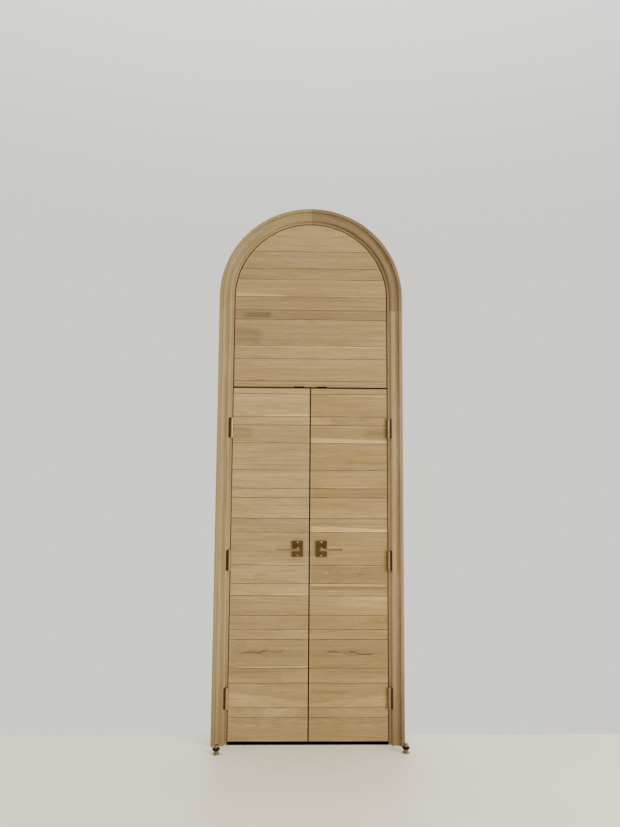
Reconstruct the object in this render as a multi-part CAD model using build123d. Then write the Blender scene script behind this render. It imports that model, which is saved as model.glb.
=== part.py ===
from build123d import *
from itertools import accumulate, pairwise
from math import radians, tan
import os

# Frame: X to the right, Y into the wall, Z up. The origin is on the floor, midway across
# the doorway, in the plane of the wall's face that the casing lies on.

# Doorway and gaps
OPENING_WIDTH = 925.0
SIDE_GAP = 3.0
MEETING_GAP = 4.0
HEAD_GAP = 4.0
FLOOR_GAP = 15.5
LEAF_HEIGHT = 2024.0
SPRING_HEIGHT = 2590.0

# Leaves and the fixed panel over them
LEAF_THICK = 44.0
BOARD_THICK = 12.0
BACK_THICK = 4.0
MEETING_BEVEL = 3.0

# Heights of the boards from the foot of a leaf to the crown of the arch
BOARD_HEIGHTS = (133, 56, 131, 84, 160, 57, 78, 111, 68, 106, 190, 79, 121, 54, 108, 159, 106, 52, 136, 77,
                 135, 78, 162, 58, 82, 108, 68, 106, 190)
NARROWEST_STRIP = 15.0
JOINT_BEVEL = 2.0
TONGUE_THICK = 4.0
TONGUE_LENGTH = 5.0
TONGUE_CLEARANCE = 0.2

# Frame
JAMB_THICK = 30.0
JAMB_DEPTH = 116.0
HEAD_RAIL_HEIGHT = 60.0
STOP_THICK = 12.0
STOP_WIDTH = 32.0
STOP_CLEARANCE = 2.0

# Casing, as distances from the jamb's face and heights over the wall
CASING_REVEAL = 12.5
CASING_WIDTH = 74.5
INNER_EDGE = 8.0
CREST_WIDTH = 13.0
CREST_HEIGHT = 19.0
VALLEY_PLACE = 33.0
VALLEY_HEIGHT = 14.5
COVE_HEIGHT = 22.5
COVE_SAG = 1.6
BAND_WIDTH = 22.0
BAND_HEIGHT = 28.0
QUIRK_WIDTH = 2.5
QUIRK_DEPTH = 2.5
BAND_EASE = 5.0
WALL_STRIP = 14.0
BACK_RELIEF = 2.0
CASING_TAIL = 79.0
POCKET_DEPTH = 7.5
POCKET_MARGIN = 2.0

# Butt hinges
HINGE_HEIGHT = 114.0
HINGE_INSET = 240.0
PLATE_THICK = 3.0
PLATE_WIDTH = 36.0
BARREL_RADIUS = 8.0
BARREL_STANDOFF = 1.0
BARREL_SHIFT = 3.3
PIN_RADIUS = 4.0
PIN_CLEARANCE = 0.05
KNUCKLE_COUNT = 5
KNUCKLE_GAP = 0.3
TIP_RADIUS = 6.5
TIP_HEIGHT = 3.5
PLUG_LENGTH = 6.0
HINGE_SCREW_RADIUS = 2.2
HINGE_SCREW_HEAD = 4.2
HINGE_SCREW_LENGTH = 26.0
HINGE_SCREW_ROWS = (0.12, 0.38)
HINGE_SCREW_NEAR = 11.0
HINGE_SCREW_STAGGER = 13.0

# Levers on their roses
BACKSET = 67.5
LEVER_HEIGHT = 1095.0
ROSE_WIDTH = 66.0
ROSE_HEIGHT = 94.0
ROSE_THICK = 8.0
ROSE_BEVEL = 1.5
ROSE_SCREW_OFFSET = 38.0
ROSE_SCREW_HEAD = 4.5
ROSE_SCREW_DOME = 2.0
ROSE_SCREW_CROWN = 2.7
ROSE_SCREW_EDGE = 0.7
ROSE_SCREW_RADIUS = 2.0
ROSE_SCREW_LENGTH = 28.0
NECK_RADIUS = 9.0
NECK_CLEARANCE = 0.05
NECK_SEAT = 6.0
LEVER_REACH = 62.0
LEVER_LENGTH = 121.0
LEVER_HEEL = 11.0
LEVER_BAR_HEIGHT = 13.0
LEVER_BAR_THICK = 11.0
LEVER_BEVEL = 1.2
SPINDLE_SIDE = 8.0
SPINDLE_CLEARANCE = 0.05
SPINDLE_SOCKET = 30.0
SPINDLE_IN_LEAF = 26.0
CASSETTE_RADIUS = 19.0
CASSETTE_DEPTH = 9.0
SPINDLE_ROOM = 1.0

# Ball catches in the leaves' heads, and their strikes
CATCH_FROM_MIDDLE = 67.5
BALL_RADIUS = 5.5
BALL_CLEARANCE = 0.05
BALL_RIDE = 0.3
CATCH_WALL = 4.5
CATCH_LENGTH = 40.0
CATCH_FLOOR = 5.0
CATCH_FLANGE = 2.5
CATCH_FLANGE_THICK = 2.0
SPRING_WIRE = 0.9
SPRING_TURNS = 5
STRIKE_LENGTH = 60.0
STRIKE_DEPTH = 35.0
STRIKE_THICK = 1.6
STRIKE_HOLE = 4.4
STRIKE_LIP = 6.0
STRIKE_LIP_THICK = 1.2
STRIKE_POCKET = 5.0
STRIKE_SCREW_OFFSET = 22.0
STRIKE_SCREW_RADIUS = 1.8
STRIKE_SCREW_HEAD = 3.4
STRIKE_SCREW_LENGTH = 20.0

# Floor stops, each with its place from the doorway's middle and from the wall's face
FLOOR_STOP_PLACES = {"left": (-506.0, -114.0), "right": (540.0, -102.0)}
STOP_POST_RADIUS = 14.0
STOP_POST_HEIGHT = 47.0
STOP_BASE_RADIUS = 18.5
STOP_BASE_HEIGHT = 4.0
STOP_CAP_HEIGHT = 6.0
STOP_CAP_EASE = 1.0
STOP_NECK_HEIGHT = 3.0
STOP_NECK_RADIUS = 11.0
RING_RADIUS = 21.0
RING_LOW = 21.0
RING_HEIGHT = 13.0
RING_SEAT_DEPTH = 2.0
RING_CLEARANCE = 0.05
RING_EASE = 4.0

# Sizes that follow from those above
HALF_OPENING = OPENING_WIDTH / 2
HALF_MEETING = MEETING_GAP / 2
LEAF_TOP = FLOOR_GAP + LEAF_HEIGHT
SOFFIT = LEAF_TOP + HEAD_GAP
RAIL_TOP = SOFFIT + HEAD_RAIL_HEIGHT
PANEL_RADIUS = HALF_OPENING - SIDE_GAP
LEAF_STOP_FRONT = LEAF_THICK + STOP_CLEARANCE
CASING_EDGE = HALF_OPENING + CASING_REVEAL
CASING_JOINT = SPRING_HEIGHT - CASING_TAIL
HINGE_X = HALF_OPENING - SIDE_GAP / 2 + BARREL_SHIFT
HINGE_Y = -BARREL_RADIUS - BARREL_STANDOFF
HINGE_LEVELS = {
    "top": LEAF_TOP - HINGE_INSET,
    "middle": (LEAF_TOP + FLOOR_GAP) / 2,
    "bottom": FLOOR_GAP + HINGE_INSET,
}
BORE_RADIUS = PIN_RADIUS + PIN_CLEARANCE
LEVER_X = HALF_MEETING + BACKSET
BALL_TOP = SOFFIT - BALL_RIDE
CATCH_Y = LEAF_THICK / 2
CATCH_BORE = BALL_RADIUS + BALL_CLEARANCE
CATCH_RADIUS = CATCH_BORE + CATCH_WALL
CATCH_FOOT = LEAF_TOP - CATCH_LENGTH
RING_SEAT_RADIUS = STOP_POST_RADIUS - RING_SEAT_DEPTH


# Plain shapes that the pieces below are made from

def block(x, y, z):
    """Box between a low and a high limit along each axis."""
    sides = [high - low for low, high in (x, y, z)]
    middle = [(high + low) / 2 for low, high in (x, y, z)]
    return Pos(*middle) * Box(*sides)


def rod(radius, x, y, z):
    """Upright cylinder on the axis (x, y) between two heights."""
    low, high = z
    return Pos(x, y, (low + high) / 2) * Cylinder(radius, high - low)


def rod_into_wall(radius, x, z, y):
    """Cylinder along Y on the axis (x, z) between two depths."""
    near, far = y
    return Pos(x, (near + far) / 2, z) * Rot(90, 0, 0) * Cylinder(radius, far - near)


def rod_across(radius, y, z, x):
    """Cylinder along X on the axis (y, z) between two places."""
    low, high = x
    return Pos((low + high) / 2, y, z) * Rot(0, 90, 0) * Cylinder(radius, high - low)


def slab(outline, y):
    """Outline drawn on the front, with X across and Z up, made solid between two depths."""
    near, far = y
    return extrude(Plane((0, far, 0), x_dir=(1, 0, 0), z_dir=(0, -1, 0)) * outline, far - near)


def turned(points, x=0, y=0):
    """Solid turned about an upright axis from (radius, height) points."""
    outline = make_face(Polyline(*points, close=True))
    return Pos(x, y, 0) * revolve(Plane.XZ * outline, Axis.Z)


def arched_outline(radius, foot):
    """Outline with two upright sides from the foot, joined over the springing by a half circle."""
    sides = Polyline((-radius, SPRING_HEIGHT), (-radius, foot), (radius, foot), (radius, SPRING_HEIGHT))
    crown = ThreePointArc((-radius, SPRING_HEIGHT), (0, SPRING_HEIGHT + radius), (radius, SPRING_HEIGHT))
    return make_face([*sides.edges(), crown])


def cut(shape, tools):
    """Shape with each tool that reaches into it taken away."""
    for tool in tools:
        shape = shape - tool
    return shape


def group(shapes):
    """Separate solids that share one node."""
    return Compound(children=[solid for shape in shapes for solid in shape.solids()])


def countersunk_screw(head, radius, length):
    """Flat-headed screw on the Z axis, with its head's face at the origin and its point above."""
    cone = head - radius
    return turned([(0, 0), (head, 0), (radius, cone), (radius, length), (0, length)])


# Boards of the leaves and of the panel over them

def course_limits(low, high):
    """Low and high edge of each board between two heights, the end boards cut to fit."""
    joints = list(accumulate(BOARD_HEIGHTS, initial=FLOOR_GAP))
    inside = [z for z in joints if low + NARROWEST_STRIP < z < high - NARROWEST_STRIP]
    return list(pairwise([low, *inside, high]))


def board(low, high, grooved, tongued):
    """One board right across the doorway, with bevelled front edges, a groove below and a tongue above."""
    middle = (JOINT_BEVEL + BOARD_THICK) / 2
    tongue = (middle - TONGUE_THICK / 2, middle + TONGUE_THICK / 2)
    groove = (tongue[0] - TONGUE_CLEARANCE, tongue[1] + TONGUE_CLEARANCE)
    crest = high + TONGUE_LENGTH
    depth = low + TONGUE_LENGTH + TONGUE_CLEARANCE
    points = [(0, low + JOINT_BEVEL), (0, high - JOINT_BEVEL), (JOINT_BEVEL, high)]
    if tongued:
        points += [(tongue[0], high), (tongue[0], crest), (tongue[1], crest), (tongue[1], high)]
    points += [(BOARD_THICK, high), (BOARD_THICK, low)]
    if grooved:
        points += [(groove[1], low), (groove[1], depth), (groove[0], depth), (groove[0], low)]
    points += [(JOINT_BEVEL, low)]
    section = make_face(Polyline(*points, close=True))
    return Pos(-HALF_OPENING, 0, 0) * extrude(Plane.YZ * section, OPENING_WIDTH)


def boarding(low, high, outline, tools):
    """All the boards between two heights, trimmed to an outline and cut by the tools."""
    limits = course_limits(low, high)
    boards = [
        board(*edges, grooved=edges[0] > low, tongued=edges[1] < high)
        for edges in limits
    ]
    return group([cut(plank & outline, tools) for plank in boards])


# Leaf: the right-hand one is modelled, and the left-hand one is its mirror image

def meeting_edge(depth):
    """Distance of a leaf's slanted meeting edge from the doorway's middle, at a depth."""
    return HALF_MEETING + depth * tan(radians(MEETING_BEVEL))


def leaf_solid(corners):
    """Full-height solid of the leaf on a plan given by its (across, depth) corners."""
    plan = make_face(Polyline(*corners, close=True))
    return extrude(Pos(0, 0, FLOOR_GAP) * plan, LEAF_HEIGHT, dir=(0, 0, 1))


def leaf_layer(y):
    """Plain layer of the leaf between two depths, with its meeting edge slanted."""
    near, far = y
    return leaf_solid([
        (meeting_edge(near), near),
        (PANEL_RADIUS, near),
        (PANEL_RADIUS, far),
        (meeting_edge(far), far),
    ])


def leaf_face_layer():
    """Front layer of the leaf, with both upright front edges bevelled like the boards' joints."""
    return leaf_solid([
        (meeting_edge(0) + JOINT_BEVEL, 0),
        (PANEL_RADIUS - JOINT_BEVEL, 0),
        (PANEL_RADIUS, JOINT_BEVEL),
        (PANEL_RADIUS, BOARD_THICK),
        (meeting_edge(BOARD_THICK), BOARD_THICK),
        (meeting_edge(JOINT_BEVEL), JOINT_BEVEL),
    ])


def leaf_cutters():
    """Everything that is let into the leaf's wood."""
    tools = [leaf_mortise(level) for level in HINGE_LEVELS.values()]
    tools += [leaf_screw_hole(*place) for place in hinge_screw_places()]
    tools += [rose_screw_hole(side) for side in (-1, 1)]
    tools += [lever_hole(), cassette_recess(), catch_hole()]
    return tools


def leaf_boards():
    return boarding(FLOOR_GAP, LEAF_TOP, leaf_face_layer(), leaf_cutters())


def leaf_core():
    return cut(leaf_layer((BOARD_THICK, LEAF_THICK - BACK_THICK)), leaf_cutters())


def leaf_back():
    return leaf_layer((LEAF_THICK - BACK_THICK, LEAF_THICK))


# Fixed frame, panel and casing

def jamb():
    """Right-hand jamb from the floor to the springing, with its hinge mortises."""
    wood = block((HALF_OPENING, HALF_OPENING + JAMB_THICK), (0, JAMB_DEPTH), (0, SPRING_HEIGHT))
    tools = [jamb_mortise(level) for level in HINGE_LEVELS.values()]
    tools += [jamb_screw_hole(*place) for place in hinge_screw_places()]
    return cut(wood, tools)


def arch_lining():
    """Half ring over the springing that carries on the two jambs."""
    outer = arched_outline(HALF_OPENING + JAMB_THICK, SPRING_HEIGHT - JAMB_THICK)
    inner = arched_outline(HALF_OPENING, SPRING_HEIGHT - JAMB_THICK)
    ring = slab(outer - inner, (0, JAMB_DEPTH))
    reach = HALF_OPENING + JAMB_THICK
    return ring - block((-reach, reach), (0, JAMB_DEPTH), (SPRING_HEIGHT - JAMB_THICK, SPRING_HEIGHT))


def head_rail():
    """Rail over the leaves that carries the panel's foot and the strikes."""
    rail = block((-HALF_OPENING, HALF_OPENING), (BOARD_THICK, JAMB_DEPTH), (SOFFIT, RAIL_TOP))
    return cut(rail, strike_cutters())


def jamb_stop():
    """Right-hand strip that the leaf closes against."""
    x = (HALF_OPENING - STOP_THICK, HALF_OPENING)
    return block(x, (LEAF_STOP_FRONT, LEAF_STOP_FRONT + STOP_WIDTH), (0, SOFFIT))


def head_stop():
    """Strip under the head rail, between the two upright strips."""
    reach = HALF_OPENING - STOP_THICK
    y = (LEAF_STOP_FRONT, LEAF_STOP_FRONT + STOP_WIDTH)
    return block((-reach, reach), y, (SOFFIT - STOP_THICK, SOFFIT))


def arch_bead():
    """Bead inside the arch that the fixed panel is set against."""
    shape = arched_outline(HALF_OPENING, RAIL_TOP) - arched_outline(HALF_OPENING - STOP_THICK, RAIL_TOP)
    return slab(shape, (LEAF_THICK, LEAF_THICK + STOP_WIDTH))


def panel_core():
    """Arched backing of the fixed panel, standing on the head rail."""
    return slab(arched_outline(PANEL_RADIUS, RAIL_TOP), (BOARD_THICK, LEAF_THICK))


def panel_boards():
    """Boards of the fixed panel, in line with those of the leaves and bevelled round the arch."""
    outline = slab(arched_outline(PANEL_RADIUS, SOFFIT), (0, BOARD_THICK))
    front = outline.faces().sort_by(Axis.Y)[0]
    over_the_foot = front.edges().sort_by(Axis.Z)[1:]
    outline = chamfer(over_the_foot, JOINT_BEVEL)
    return boarding(SOFFIT, SPRING_HEIGHT + PANEL_RADIUS, outline, strike_cutters())


def casing_section():
    """Moulded section of the casing: bead, shallow hollow, cove, quirk and raised outer band.

    The back lies on the jamb and on a strip of the wall, and is relieved between them.
    """
    inner = CASING_EDGE
    outer = inner + CASING_WIDTH
    jamb_side = HALF_OPENING + JAMB_THICK
    crest = inner + CREST_WIDTH
    valley = inner + VALLEY_PLACE
    band = outer - BAND_WIDTH
    quirk = band - QUIRK_WIDTH
    bead = TangentArc((inner, -INNER_EDGE), (crest, -CREST_HEIGHT), tangent=(0, -1))
    fall = Line((crest, -CREST_HEIGHT), (valley, -VALLEY_HEIGHT))
    cove = ThreePointArc(
        (valley, -VALLEY_HEIGHT),
        ((valley + quirk) / 2, COVE_SAG - (VALLEY_HEIGHT + COVE_HEIGHT) / 2),
        (quirk, -COVE_HEIGHT),
    )
    groove = Polyline(
        (quirk, -COVE_HEIGHT),
        (quirk, -COVE_HEIGHT + QUIRK_DEPTH),
        (band, -COVE_HEIGHT + QUIRK_DEPTH),
        (band, -BAND_HEIGHT + BAND_EASE / 2),
    )
    face = Polyline(
        (band, -BAND_HEIGHT + BAND_EASE / 2),
        (band + BAND_EASE / 2, -BAND_HEIGHT),
        (outer - BAND_EASE, -BAND_HEIGHT),
    )
    shoulder = RadiusArc((outer - BAND_EASE, -BAND_HEIGHT), (outer, -BAND_HEIGHT + BAND_EASE), -BAND_EASE)
    back = Polyline(
        (outer, -BAND_HEIGHT + BAND_EASE),
        (outer, 0),
        (outer - WALL_STRIP, 0),
        (outer - WALL_STRIP, -BACK_RELIEF),
        (jamb_side, -BACK_RELIEF),
        (jamb_side, 0),
        (inner, 0),
        (inner, -INNER_EDGE),
    )
    return make_face([bead, fall, cove, *groove.edges(), *face.edges(), shoulder, *back.edges()])


def casing_leg():
    """Right-hand upright of the casing, pocketed beside each hinge."""
    leg = extrude(casing_section(), CASING_JOINT, dir=(0, 0, 1))
    half = HINGE_HEIGHT / 2 + POCKET_MARGIN
    x = (CASING_EDGE, CASING_EDGE + POCKET_DEPTH)
    pockets = [
        block(x, (-BAND_HEIGHT, 0), (level - half, level + half))
        for level in HINGE_LEVELS.values()
    ]
    return cut(leg, pockets)


def casing_arch():
    """Right-hand quarter of the arched casing, with the short straight end that meets the leg."""
    section = Pos(0, 0, SPRING_HEIGHT) * casing_section()
    quarter = revolve(section, Axis((0, 0, SPRING_HEIGHT), (0, -1, 0)), 90)
    tail = extrude(section, CASING_TAIL, dir=(0, 0, -1))
    return quarter + tail


# Butt hinges, right-hand

def knuckle_limits(level, index):
    """Low and high end of one knuckle of the hinge at a level."""
    pitch = HINGE_HEIGHT / KNUCKLE_COUNT
    low = level - HINGE_HEIGHT / 2 + index * pitch
    return (low + KNUCKLE_GAP / 2, low + pitch - KNUCKLE_GAP / 2)


def hinge_plate(level, x, first):
    """Plate let into the wood between two places in X, with every other knuckle from the first."""
    half = HINGE_HEIGHT / 2
    plate = block(x, (0, PLATE_WIDTH), (level - half, level + half))
    for index in range(first, KNUCKLE_COUNT, 2):
        z = knuckle_limits(level, index)
        plate = plate + block(x, (HINGE_Y, 0), z) + rod(BARREL_RADIUS, HINGE_X, HINGE_Y, z)
    return plate - rod(BORE_RADIUS, HINGE_X, HINGE_Y, (level - half, level + half))


def jamb_mortise(level):
    half = HINGE_HEIGHT / 2
    x = (HALF_OPENING, HALF_OPENING + PLATE_THICK)
    return block(x, (0, PLATE_WIDTH), (level - half, level + half))


def leaf_mortise(level):
    half = HINGE_HEIGHT / 2
    x = (PANEL_RADIUS - PLATE_THICK, PANEL_RADIUS)
    return block(x, (0, PLATE_WIDTH), (level - half, level + half))


def hinge_screw_places():
    """Depth and height of every screw in the three hinges, staggered down each plate."""
    places = []
    for level in HINGE_LEVELS.values():
        rows = [side * share for share in HINGE_SCREW_ROWS for side in (-1, 1)]
        for count, row in enumerate(sorted(rows)):
            depth = HINGE_SCREW_NEAR + HINGE_SCREW_STAGGER * (count % 2)
            places.append((depth, level + row * HINGE_HEIGHT))
    return places


def jamb_screw(depth, height):
    screw = countersunk_screw(HINGE_SCREW_HEAD, HINGE_SCREW_RADIUS, HINGE_SCREW_LENGTH)
    return Pos(HALF_OPENING, depth, height) * Rot(0, 90, 0) * screw


def leaf_screw(depth, height):
    screw = countersunk_screw(HINGE_SCREW_HEAD, HINGE_SCREW_RADIUS, HINGE_SCREW_LENGTH)
    return Pos(PANEL_RADIUS, depth, height) * Rot(0, -90, 0) * screw


def jamb_screw_hole(depth, height):
    return rod_across(HINGE_SCREW_RADIUS, depth, height, (HALF_OPENING, HALF_OPENING + HINGE_SCREW_LENGTH))


def leaf_screw_hole(depth, height):
    return rod_across(HINGE_SCREW_RADIUS, depth, height, (PANEL_RADIUS - HINGE_SCREW_LENGTH, PANEL_RADIUS))


def frame_hinge_plate(level):
    """Plate on the jamb, with the first, third and fifth knuckle."""
    plate = hinge_plate(level, (HALF_OPENING, HALF_OPENING + PLATE_THICK), 0)
    return cut(plate, [jamb_screw(*place) for place in hinge_screw_places()])


def leaf_hinge_plate(level):
    """Plate on the leaf, with the second and fourth knuckle."""
    plate = hinge_plate(level, (PANEL_RADIUS - PLATE_THICK, PANEL_RADIUS), 1)
    return cut(plate, [leaf_screw(*place) for place in hinge_screw_places()])


def hinge_pins():
    """Headed pin of each hinge, and the plug that closes the barrel under it."""
    half = HINGE_HEIGHT / 2
    top = half - KNUCKLE_GAP / 2
    ease = TIP_HEIGHT / 3
    tip = [(0, TIP_HEIGHT), (TIP_RADIUS - ease, TIP_HEIGHT), (TIP_RADIUS, TIP_HEIGHT - ease), (TIP_RADIUS, 0)]
    pin = turned([*tip, (PIN_RADIUS, 0), (PIN_RADIUS, PLUG_LENGTH - 2 * top), (0, PLUG_LENGTH - 2 * top)])
    plug = turned([*tip, (PIN_RADIUS, 0), (PIN_RADIUS, -PLUG_LENGTH), (0, -PLUG_LENGTH)])
    solids = []
    for level in HINGE_LEVELS.values():
        solids.append(Pos(HINGE_X, HINGE_Y, level + top) * pin)
        solids.append(Pos(HINGE_X, HINGE_Y, level - top) * Rot(180, 0, 0) * plug)
    return solids


# Lever set, right-hand

def rose():
    """Oblong plate with bevelled edges, bored for the lever's neck and its two screws."""
    half_width = ROSE_WIDTH / 2
    half_height = ROSE_HEIGHT / 2
    x = (LEVER_X - half_width, LEVER_X + half_width)
    plate = block(x, (-ROSE_THICK, 0), (LEVER_HEIGHT - half_height, LEVER_HEIGHT + half_height))
    front = plate.faces().sort_by(Axis.Y)[0]
    plate = chamfer(front.edges(), ROSE_BEVEL)
    neck = rod_into_wall(NECK_RADIUS + NECK_CLEARANCE, LEVER_X, LEVER_HEIGHT, (-ROSE_THICK, 0))
    return cut(plate, [neck, rose_screw_hole(-1), rose_screw_hole(1)])


def rose_screw_hole(side):
    height = LEVER_HEIGHT + side * ROSE_SCREW_OFFSET
    depth = (-ROSE_THICK, ROSE_SCREW_LENGTH - ROSE_THICK)
    return rod_into_wall(ROSE_SCREW_RADIUS, LEVER_X, height, depth)


def rose_screws():
    """Two domed screws through the rose into the leaf."""
    points = [
        (0, -ROSE_SCREW_DOME),
        (ROSE_SCREW_CROWN, -ROSE_SCREW_DOME),
        (ROSE_SCREW_HEAD, -ROSE_SCREW_EDGE),
        (ROSE_SCREW_HEAD, 0),
        (ROSE_SCREW_RADIUS, 0),
        (ROSE_SCREW_RADIUS, ROSE_SCREW_LENGTH),
        (0, ROSE_SCREW_LENGTH),
    ]
    screw = Rot(-90, 0, 0) * turned(points)
    return [
        Pos(LEVER_X, -ROSE_THICK, LEVER_HEIGHT + side * ROSE_SCREW_OFFSET) * screw
        for side in (-1, 1)
    ]


def lever():
    """Square bar on a round neck, with the square socket that takes the spindle."""
    half = LEVER_BAR_HEIGHT / 2
    y = (-LEVER_REACH, -LEVER_REACH + LEVER_BAR_THICK)
    x = (LEVER_X - LEVER_HEEL, LEVER_X + LEVER_LENGTH)
    bar = block(x, y, (LEVER_HEIGHT - half, LEVER_HEIGHT + half))
    bar = chamfer(bar.edges(), LEVER_BEVEL)
    neck = rod_into_wall(NECK_RADIUS, LEVER_X, LEVER_HEIGHT, (y[1] - LEVER_BEVEL, NECK_SEAT - ROSE_THICK))
    reach = SPINDLE_SIDE / 2 + SPINDLE_CLEARANCE
    socket = block(
        (LEVER_X - reach, LEVER_X + reach),
        (NECK_SEAT - ROSE_THICK - SPINDLE_SOCKET, NECK_SEAT - ROSE_THICK),
        (LEVER_HEIGHT - reach, LEVER_HEIGHT + reach),
    )
    return bar + neck - socket


def spindle():
    """Square bar from the bottom of the lever's socket into the leaf."""
    half = SPINDLE_SIDE / 2
    y = (NECK_SEAT - ROSE_THICK - SPINDLE_SOCKET, SPINDLE_IN_LEAF)
    return block((LEVER_X - half, LEVER_X + half), y, (LEVER_HEIGHT - half, LEVER_HEIGHT + half))


def spindle_room():
    """Radius of a hole that the square spindle turns in freely."""
    return SPINDLE_SIDE / 2 ** 0.5 + SPINDLE_ROOM


def lever_hole():
    return rod_into_wall(spindle_room(), LEVER_X, LEVER_HEIGHT, (0, SPINDLE_IN_LEAF + SPINDLE_ROOM))


def cassette_recess():
    return rod_into_wall(CASSETTE_RADIUS, LEVER_X, LEVER_HEIGHT, (0, CASSETTE_DEPTH))


def spring_cassette():
    """Round housing behind the rose, with the spring that brings the lever back level."""
    return cassette_recess() - rod_into_wall(spindle_room(), LEVER_X, LEVER_HEIGHT, (0, CASSETTE_DEPTH))


# Ball catch, right-hand

def catch_hole():
    flange = rod(CATCH_RADIUS + CATCH_FLANGE, CATCH_FROM_MIDDLE, CATCH_Y, (LEAF_TOP - CATCH_FLANGE_THICK, LEAF_TOP))
    return flange + rod(CATCH_RADIUS, CATCH_FROM_MIDDLE, CATCH_Y, (CATCH_FOOT, LEAF_TOP))


def catch_case():
    """Tube with a flange let into the leaf's head, closed at its foot."""
    bore = rod(CATCH_BORE, CATCH_FROM_MIDDLE, CATCH_Y, (CATCH_FOOT + CATCH_FLOOR, LEAF_TOP))
    return catch_hole() - bore


def catch_ball():
    """Ball at the height where it rides just under the strike."""
    return Pos(CATCH_FROM_MIDDLE, CATCH_Y, BALL_TOP - BALL_RADIUS) * Sphere(BALL_RADIUS)


def catch_spring():
    """Coil of square wire from the floor of the case to the ball."""
    foot = CATCH_FOOT + CATCH_FLOOR
    radius = CATCH_BORE - SPRING_WIRE
    low_on_ball = BALL_TOP - BALL_RADIUS - (BALL_RADIUS ** 2 - radius ** 2) ** 0.5
    height = low_on_ball - foot - 2 * SPRING_WIRE
    path = Helix(height / SPRING_TURNS, height, radius)
    section = Plane(path @ 0, x_dir=(1, 0, 0), z_dir=path % 0) * Rectangle(SPRING_WIRE, SPRING_WIRE)
    coil = sweep(section, path, is_frenet=True)
    return Pos(CATCH_FROM_MIDDLE, CATCH_Y, foot + SPRING_WIRE) * coil


def strike():
    """Plate under the head rail with a hole for the ball and a lip turned up the front."""
    x = (CATCH_FROM_MIDDLE - STRIKE_LENGTH / 2, CATCH_FROM_MIDDLE + STRIKE_LENGTH / 2)
    plate = block(x, (-STRIKE_LIP_THICK, STRIKE_DEPTH), (SOFFIT, SOFFIT + STRIKE_THICK))
    lip = block(x, (-STRIKE_LIP_THICK, 0), (SOFFIT, SOFFIT + STRIKE_LIP))
    hole = rod(STRIKE_HOLE, CATCH_FROM_MIDDLE, CATCH_Y, (SOFFIT, SOFFIT + STRIKE_THICK))
    return cut(plate + lip, [hole, *strike_screws()])


def strike_screw_places():
    return [(CATCH_FROM_MIDDLE + side * STRIKE_SCREW_OFFSET, CATCH_Y) for side in (-1, 1)]


def strike_screws():
    """Two countersunk screws up through the strike."""
    screw = countersunk_screw(STRIKE_SCREW_HEAD, STRIKE_SCREW_RADIUS, STRIKE_SCREW_LENGTH)
    return [Pos(x, y, SOFFIT) * screw for x, y in strike_screw_places()]


def strike_cutters():
    """Both strikes' recesses, the pockets over their holes and their screw holes."""
    x = (CATCH_FROM_MIDDLE - STRIKE_LENGTH / 2, CATCH_FROM_MIDDLE + STRIKE_LENGTH / 2)
    top = SOFFIT + STRIKE_THICK
    tools = [
        block(x, (-STRIKE_LIP_THICK, STRIKE_DEPTH), (SOFFIT, top)),
        rod(BALL_RADIUS, CATCH_FROM_MIDDLE, CATCH_Y, (top, top + STRIKE_POCKET)),
    ]
    tools += [
        rod(STRIKE_SCREW_RADIUS, *place, (SOFFIT, SOFFIT + STRIKE_SCREW_LENGTH))
        for place in strike_screw_places()
    ]
    return tools + [mirror(tool, Plane.YZ) for tool in tools]


# Floor stops

def floor_stop(x, y):
    """Turned post with a wide foot, a seat for the rubber ring and a necked cap."""
    neck = STOP_POST_HEIGHT - STOP_CAP_HEIGHT
    points = [
        (0, 0),
        (STOP_BASE_RADIUS, 0),
        (STOP_BASE_RADIUS, STOP_BASE_HEIGHT / 2),
        (STOP_BASE_RADIUS - STOP_BASE_HEIGHT / 2, STOP_BASE_HEIGHT),
        (STOP_POST_RADIUS, STOP_BASE_HEIGHT),
        (STOP_POST_RADIUS, RING_LOW),
        (RING_SEAT_RADIUS, RING_LOW),
        (RING_SEAT_RADIUS, RING_LOW + RING_HEIGHT),
        (STOP_POST_RADIUS, RING_LOW + RING_HEIGHT),
        (STOP_POST_RADIUS, neck - STOP_NECK_HEIGHT),
        (STOP_NECK_RADIUS, neck - STOP_NECK_HEIGHT),
        (STOP_NECK_RADIUS, neck),
        (STOP_POST_RADIUS, neck),
        (STOP_POST_RADIUS, STOP_POST_HEIGHT - STOP_CAP_EASE),
        (STOP_POST_RADIUS - STOP_CAP_EASE, STOP_POST_HEIGHT),
        (0, STOP_POST_HEIGHT),
    ]
    return turned(points, x, y)


def floor_stop_ring(x, y):
    """Rubber ring in its seat round the post."""
    low = RING_LOW
    high = RING_LOW + RING_HEIGHT
    inner = RING_SEAT_RADIUS + RING_CLEARANCE
    points = [
        (inner, low),
        (RING_RADIUS - RING_EASE, low),
        (RING_RADIUS, low + RING_EASE),
        (RING_RADIUS, high - RING_EASE),
        (RING_RADIUS - RING_EASE, high),
        (inner, high),
    ]
    return turned(points, x, y)


# Nodes

def both_sides(name, shape):
    """The right-hand shape and its mirror image under the two sides' names."""
    return {f"{name}_right": shape, f"{name}_left": mirror(shape, Plane.YZ)}


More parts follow.
